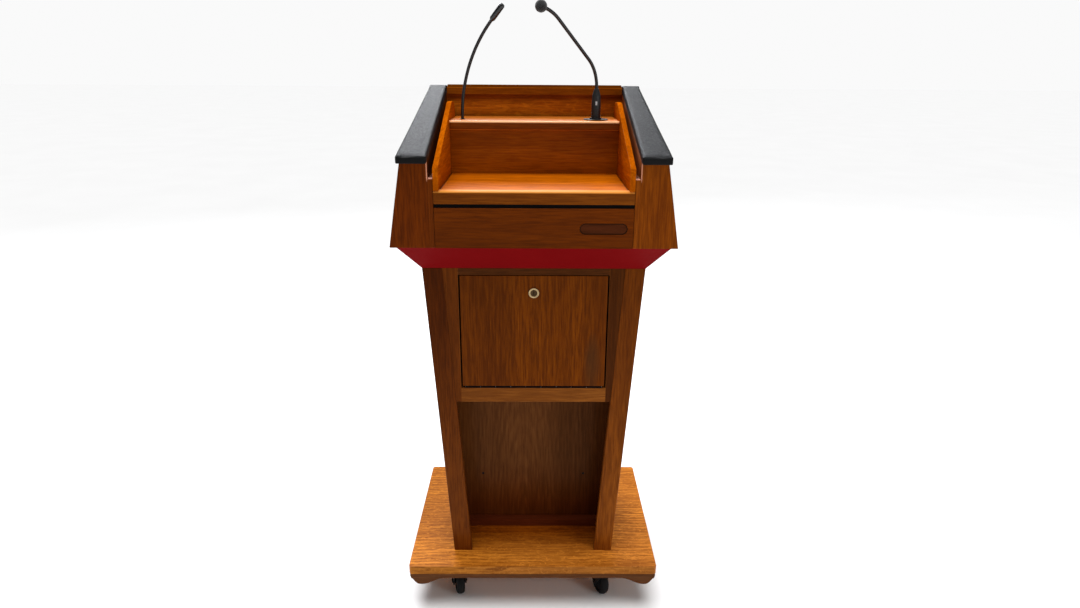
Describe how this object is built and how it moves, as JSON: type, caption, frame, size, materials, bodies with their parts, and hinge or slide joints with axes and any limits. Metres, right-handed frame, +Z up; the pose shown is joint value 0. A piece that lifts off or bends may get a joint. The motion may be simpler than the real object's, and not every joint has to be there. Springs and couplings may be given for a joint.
{
  "type": "lectern podium",
  "caption": "Wheeled wooden lectern: open niche, drop-front locker with cam lock, reading tray between padded armrests, and gooseneck microphones.",
  "frame": {"origin": "centre of the bounding box on the floor, under the wheels", "axes": "+Z up; -Y is the speaker's side, where the locker door and the reading tray open; +X is the speaker's right"},
  "size_m": [0.66, 0.501, 1.5469],
  "materials": {
    "top_wood": "satin varnish, strong wavy grain",
    "apron_wood": "dark stained",
    "side_wood": "satin varnish, upright grain",
    "panel_wood": "satin varnish, level grain",
    "door_wood": "satin varnish, upright strips",
    "inner_wood": "dark varnish",
    "plate_wood": "satin varnish",
    "crimson_paint": "deep red satin paint over wood",
    "pad_vinyl": "grained dark grey vinyl",
    "black_plastic": "matt",
    "neck_metal": "black satin, fine rings",
    "mic_foam": "foam windscreen, matt",
    "caster_metal": "black",
    "caster_tread": "black, matt",
    "bright_steel": "plated",
    "dark_screw": "blackened",
    "lock_brass": "satin"
  },
  "bodies": {
    "lectern_body": {"base_platform": "top_wood", "base_apron_frame": "apron_wood", "caster_mounting_plates": "caster_metal", "caster_screws": "bright_steel", "pedestal_left_side": "side_wood", "pedestal_right_side": "side_wood", "pedestal_audience_panel": "panel_wood", "left_leg_board": "side_wood", "right_leg_board": "side_wood", "niche_back_panel": "inner_wood", "niche_back_cleat": "inner_wood", "niche_panel_screws": "dark_screw", "locker_floor": "inner_wood", "door_face_frame": "panel_wood", "hinge_frame_leaf": "caster_metal", "hinge_pin": "bright_steel", "skirt_frame": "crimson_paint", "desk_floor": "inner_wood", "desk_left_side": "side_wood", "desk_right_side": "side_wood", "desk_audience_panel": "panel_wood", "desk_left_rear_board": "side_wood", "desk_right_rear_board": "side_wood", "desk_rear_panel": "panel_wood", "desk_left_inner_side": "side_wood", "desk_right_inner_side": "side_wood", "desk_top_rail": "top_wood", "left_armrest_pad": "pad_vinyl", "right_armrest_pad": "pad_vinyl", "blank_name_plate": "plate_wood", "tray_floor": "top_wood", "tray_lip": "top_wood", "tray_left_wall": "top_wood", "tray_right_wall": "top_wood", "tray_back_panel": "panel_wood", "microphone_shelf": "top_wood", "tray_rest_strip": "black_plastic", "left_mic_base": "black_plastic", "left_mic_lower_neck": "neck_metal", "right_mic_socket": "black_plastic", "right_mic_plug": "black_plastic", "right_mic_lower_neck": "neck_metal"},
    "caster_fork_body_near_left": {"caster_fork_near_left": "caster_metal"},
    "caster_wheel_body_near_left": {"caster_wheel_near_left": "caster_tread"},
    "caster_fork_body_near_right": {"caster_fork_near_right": "caster_metal"},
    "caster_wheel_body_near_right": {"caster_wheel_near_right": "caster_tread"},
    "caster_fork_body_far_left": {"caster_fork_far_left": "caster_metal"},
    "caster_wheel_body_far_left": {"caster_wheel_far_left": "caster_tread"},
    "caster_fork_body_far_right": {"caster_fork_far_right": "caster_metal"},
    "caster_wheel_body_far_right": {"caster_wheel_far_right": "caster_tread"},
    "door_body": {"locker_door": "door_wood", "hinge_door_leaf": "caster_metal", "lock_body": "lock_brass", "lock_nut": "bright_steel"},
    "lock_body_turning": {"lock_plug": "lock_brass", "lock_cam": "bright_steel"},
    "left_mic_stem_body": {"left_mic_upper_neck": "neck_metal"},
    "left_mic_head_body": {"left_mic_capsule": "black_plastic"},
    "right_mic_stem_body": {"right_mic_upper_neck": "neck_metal"},
    "right_mic_head_body": {"right_mic_head": "mic_foam"}
  },
  "joints": [
    {"name": "caster_swivel_near_left", "type": "hinge", "parent": "lectern_body", "child": "caster_fork_body_near_left", "pos_m": [-0.199, -0.196, 0.104], "axis": [0, 0, 1], "continuous": true},
    {"name": "caster_roll_near_left", "type": "hinge", "parent": "caster_fork_body_near_left", "child": "caster_wheel_body_near_left", "pos_m": [-0.20553, -0.1698, 0.038], "axis": [0.9703, 0.2419, 0], "continuous": true},
    {"name": "caster_swivel_near_right", "type": "hinge", "parent": "lectern_body", "child": "caster_fork_body_near_right", "pos_m": [0.199, -0.196, 0.104], "axis": [0, 0, 1], "continuous": true},
    {"name": "caster_roll_near_right", "type": "hinge", "parent": "caster_fork_body_near_right", "child": "caster_wheel_body_near_right", "pos_m": [0.18889, -0.17097, 0.038], "axis": [0.9272, 0.3746, 0], "continuous": true},
    {"name": "caster_swivel_far_left", "type": "hinge", "parent": "lectern_body", "child": "caster_fork_body_far_left", "pos_m": [-0.199, 0.203, 0.104], "axis": [0, 0, 1], "continuous": true},
    {"name": "caster_roll_far_left", "type": "hinge", "parent": "caster_fork_body_far_left", "child": "caster_wheel_body_far_left", "pos_m": [-0.20276, 0.17626, 0.038], "axis": [-0.9903, 0.1392, 0], "continuous": true},
    {"name": "caster_swivel_far_right", "type": "hinge", "parent": "lectern_body", "child": "caster_fork_body_far_right", "pos_m": [0.199, 0.203, 0.104], "axis": [0, 0, 1], "continuous": true},
    {"name": "caster_roll_far_right", "type": "hinge", "parent": "caster_fork_body_far_right", "child": "caster_wheel_body_far_right", "pos_m": [0.19201, 0.17692, 0.038], "axis": [-0.9659, 0.2588, 0], "continuous": true},
    {"name": "door_drop", "type": "hinge", "parent": "lectern_body", "child": "door_body", "pos_m": [0, -0.172, 0.6335], "axis": [1, 0, 0], "range_deg": [0, 90]},
    {"name": "lock_turn", "type": "hinge", "parent": "door_body", "child": "lock_body_turning", "pos_m": [0, -0.16, 0.884], "axis": [0, 1, 0], "range_deg": [0, 90]},
    {"name": "left_mic_bend", "type": "hinge", "parent": "lectern_body", "child": "left_mic_stem_body", "pos_m": [-0.17671, 0.06389, 1.35156], "axis": [0.454, 0.891, 0], "range_deg": [-40, 25], "deforming": ["left_mic_lower_neck"]},
    {"name": "left_mic_tilt", "type": "hinge", "parent": "left_mic_stem_body", "child": "left_mic_head_body", "pos_m": [-0.1331, 0.04167, 1.46589], "axis": [0.454, 0.891, 0], "range_deg": [-40, 30], "deforming": ["left_mic_upper_neck"]},
    {"name": "right_mic_bend", "type": "hinge", "parent": "lectern_body", "child": "right_mic_stem_body", "pos_m": [0.15039, 0.0585, 1.38892], "axis": [0.6691, -0.7431, 0], "range_deg": [-45, 25], "deforming": ["right_mic_lower_neck"]},
    {"name": "right_mic_tilt", "type": "hinge", "parent": "right_mic_stem_body", "child": "right_mic_head_body", "pos_m": [0.064, -0.01929, 1.49473], "axis": [0.6691, -0.7431, 0], "range_deg": [-40, 40], "deforming": ["right_mic_upper_neck"]}
  ]
}
